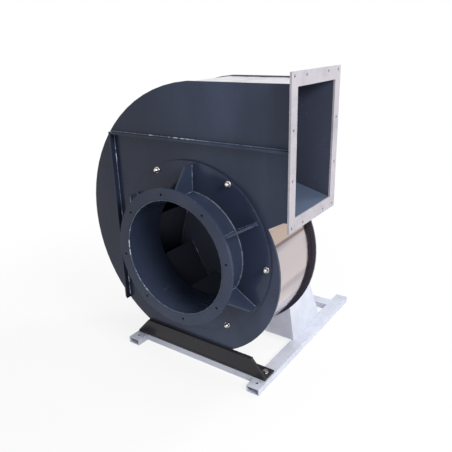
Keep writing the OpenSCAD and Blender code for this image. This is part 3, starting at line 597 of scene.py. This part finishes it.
def blade_beads():
    """The welds between the blades and the back disc, on each blade's hollow side."""
    low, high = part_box("impeller_back_disc")
    y = low.y - BLADE_LIFT
    for i in range(BLADES):
        angle = BLADE_ANGLE + 360 * i / BLADES
        start = polar(BLADE_IN_R, angle, y)
        tip = polar(high.x + BLADE_OVERSHOOT, angle + BLADE_WRAP, y)
        run = (tip - start).normalized()
        shift = Vector((-run.z, 0, run.x)) * BLADE_OFFSET
        end = start.lerp(tip, WELDED_SHARE)
        bead(f"bead_blade_{i}", [start + shift, end + shift], BLADE_BEAD, body="rotor")


LEVEL_INSET = 2 * MM
UPRIGHT_LOW_INSET = 12 * MM
UPRIGHT_TOP_INSET = 1 * MM


def rib_beads():
    """The welds on both sides of the bars on the side plates."""
    for end in ("front", "back"):
        low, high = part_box(f"{end}_rib_level")
        face = high.y if end == "front" else low.y
        for name, z in (("top", high.z), ("bottom", low.z)):
            start = Vector((low.x + LEVEL_INSET, face, z))
            stop = Vector((high.x - LEVEL_INSET, face, z))
            bead(f"bead_{end}_level_{name}", [start, stop], RIB_BEAD)
        low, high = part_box(f"{end}_rib_upright")
        for name, x in (("left", low.x), ("right", high.x)):
            start = Vector((x, face, low.z + UPRIGHT_LOW_INSET))
            stop = Vector((x, face, high.z - UPRIGHT_TOP_INSET))
            bead(f"bead_{end}_upright_{name}", [start, stop], RIB_BEAD)


LIP_START_DEGREES = 21.5
TOP_CORNER_DEGREES = 1
NEAR = 1 * MM
OUTLET_LOW_Z = 0.3


def lip_beads():
    """The weld between each side plate and the rolled sheet, along the sheet's outline."""
    low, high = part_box("scroll_sheet")
    top_corner = math.degrees(math.atan2(high.z, high.x)) - TOP_CORNER_DEGREES
    outline = {}
    for corner in nodes["scroll_sheet"].data.vertices:
        x, y, z = corner.co
        angle = round(math.degrees(math.atan2(z, x)), 1)
        at_outlet_floor = x > high.x - NEAR and z < OUTLET_LOW_Z
        if at_outlet_floor or y > low.y + NEAR or LIP_START_DEGREES < angle < top_corner:
            continue
        if angle not in outline or math.hypot(x, z) > math.hypot(*outline[angle]):
            outline[angle] = (x, z)
    order = sorted(outline, key=lambda angle: (angle - LIP_START_DEGREES) % 360, reverse=True)
    for name, y in (("front", low.y + LIP_BEAD), ("back", high.y - LIP_BEAD)):
        path = [Vector((outline[angle][0], y, outline[angle][1])) for angle in order]
        bead(f"bead_lip_{name}", path, LIP_BEAD, look=looks["dark_plastic"])


FOOT_SLANT = 57 * MM
FOOT_INSET = 2 * MM


def foot_beads():
    """The welds at the top and the bottom of the front foot's web."""
    low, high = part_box("front_foot_web")
    runs = (
        ("top", FOOT_SLANT, high.y, high.z, FOOT_TOP_BEAD),
        ("base", FOOT_INSET, low.y, low.z, FOOT_BASE_BEAD),
    )
    for name, inset, y, z, radius in runs:
        points = [Vector((low.x + inset, y, z)), Vector((high.x - inset, y, z))]
        bead(f"bead_foot_{name}", points, radius, look=looks["dark_plastic"])


cutoff_floor()
inlet_beads()
blade_beads()
rib_beads()
lip_beads()
foot_beads()

# Camera, fitted to the photograph
AZIMUTH = 35.33
ELEVATION = 20.52
ROLL = -1.56
LENS = 40.2
CAMERA_AT = (1.0308, -1.1412, 0.6828)


def make_camera():
    azimuth = math.radians(AZIMUTH)
    elevation = math.radians(ELEVATION)
    across = Vector((math.cos(azimuth), math.sin(azimuth), 0))
    back = Vector((
        math.sin(azimuth) * math.cos(elevation),
        -math.cos(azimuth) * math.cos(elevation),
        math.sin(elevation),
    ))
    turn = Matrix((across, back.cross(across), back)).transposed().to_4x4()
    roll = Matrix.Rotation(math.radians(ROLL), 4, "Z")
    camera = bpy.data.objects.new("Camera", bpy.data.cameras.new("Camera"))
    camera.data.lens = LENS
    camera.matrix_world = Matrix.Translation(CAMERA_AT) @ turn @ roll
    bpy.context.scene.collection.objects.link(camera)
    bpy.context.scene.camera = camera


# Floor, lights and surroundings
WHITE = (1, 1, 1, 1)
FLOOR_HALF = 12.0
# The floor is part white near the object, so that the shadow shows, and all white far from it
SHADOW_REACH = 0.7
WHITE_REACH = 2.0
NEAR_WHITE_SHARE = 0.84
FILL_COLOUR = (0.93, 0.95, 1.0, 1)
FILL_STRENGTH = 0.32
AIM = (0.0, 0.30, 0.0)
# Name, place, size, power and colour
LAMPS = (
    ("Key", (3.0, -0.7, 1.9), 1.2, 95.0, (1.0, 0.98, 0.97)),
    ("Fill", (0.9, -3.0, 1.4), 1.8, 8.0, (0.94, 0.96, 1.0)),
    ("Rim", (1.3, 2.9, 2.3), 1.0, 45.0, (1.0, 1.0, 1.0)),
    ("Top", (0.0, 0.3, 3.4), 2.2, 35.0, (1.0, 0.99, 0.98)),
)


def seen(tree):
    """1 for rays from the camera and from mirrors and glass."""
    path = tree.nodes.new("ShaderNodeLightPath")
    either = path.outputs["Is Camera Ray"]
    for kind in ("Is Glossy Ray", "Is Transmission Ray"):
        both = tree.nodes.new("ShaderNodeMath")
        both.operation = "MAXIMUM"
        tree.links.new(either, both.inputs[0])
        tree.links.new(path.outputs[kind], both.inputs[1])
        either = both.outputs["Value"]
    return either


def mixed(tree, share, lit, white, output):
    """Sends a lit and a white shader, mixed by a share, to the output."""
    mix = tree.nodes.new("ShaderNodeMixShader")
    tree.links.new(share, mix.inputs["Fac"])
    tree.links.new(lit, mix.inputs[1])
    tree.links.new(white, mix.inputs[2])
    tree.links.new(mix.outputs["Shader"], tree.nodes[output].inputs["Surface"])


def plain_white(tree, kind, output):
    """A white shader at a strength of 1."""
    white = tree.nodes.new(kind)
    white.inputs["Color"].default_value = WHITE
    white.inputs["Strength"].default_value = 1.0
    return white.outputs[output]


def white_share(tree):
    """The floor's share of white, which grows to all of it with the distance from the object."""
    place = tree.nodes.new("ShaderNodeTexCoord").outputs["Object"]
    reach = tree.nodes.new("ShaderNodeVectorMath")
    reach.operation = "LENGTH"
    tree.links.new(place, reach.inputs[0])
    grow = tree.nodes.new("ShaderNodeMapRange")
    grow.interpolation_type = "SMOOTHSTEP"
    grow.inputs["From Min"].default_value = SHADOW_REACH
    grow.inputs["From Max"].default_value = WHITE_REACH
    grow.inputs["To Min"].default_value = NEAR_WHITE_SHARE
    grow.inputs["To Max"].default_value = 1.0
    tree.links.new(reach.outputs["Value"], grow.inputs["Value"])
    return grow.outputs["Result"]


def make_floor():
    z = cad_box[0][2]
    corners = [
        (-FLOOR_HALF, -FLOOR_HALF, z),
        (FLOOR_HALF, -FLOOR_HALF, z),
        (FLOOR_HALF, FLOOR_HALF, z),
        (-FLOOR_HALF, FLOOR_HALF, z),
    ]
    mesh = bpy.data.meshes.new("Floor")
    mesh.from_pydata(corners, [], [(0, 1, 2, 3)])
    material = floor_surface("Floor", (0.86, 0.86, 0.87), (0.89, 0.89, 0.89), rough=(0.7, 0.85))
    tree = material.node_tree
    lit = tree.nodes["Principled BSDF"].outputs["BSDF"]
    share = tree.nodes.new("ShaderNodeMath")
    share.operation = "MULTIPLY"
    tree.links.new(seen(tree), share.inputs[0])
    tree.links.new(white_share(tree), share.inputs[1])
    white = plain_white(tree, "ShaderNodeEmission", "Emission")
    mixed(tree, share.outputs["Value"], lit, white, "Material Output")
    mesh.materials.append(material)
    floor = bpy.data.objects.new("Floor", mesh)
    bpy.context.scene.collection.objects.link(floor)


def make_lamps():
    for name, place, size, power, colour in LAMPS:
        light = bpy.data.lights.new(name, "AREA")
        light.shape = "DISK"
        light.size = size
        light.energy = power
        light.color = colour
        thing = bpy.data.objects.new(name, light)
        thing.location = place
        thing.rotation_euler = (Vector(place) - Vector(AIM)).to_track_quat("Z", "Y").to_euler()
        bpy.context.scene.collection.objects.link(thing)


def make_world():
    world = bpy.data.worlds.new("World")
    world.use_nodes = True
    bpy.context.scene.world = world
    tree = world.node_tree
    fill = tree.nodes["Background"]
    fill.inputs["Color"].default_value = FILL_COLOUR
    fill.inputs["Strength"].default_value = FILL_STRENGTH
    white = plain_white(tree, "ShaderNodeBackground", "Background")
    mixed(tree, seen(tree), fill.outputs["Background"], white, "World Output")


make_camera()
make_floor()
make_world()
make_lamps()
bpy.context.scene.view_settings.view_transform = "Standard"
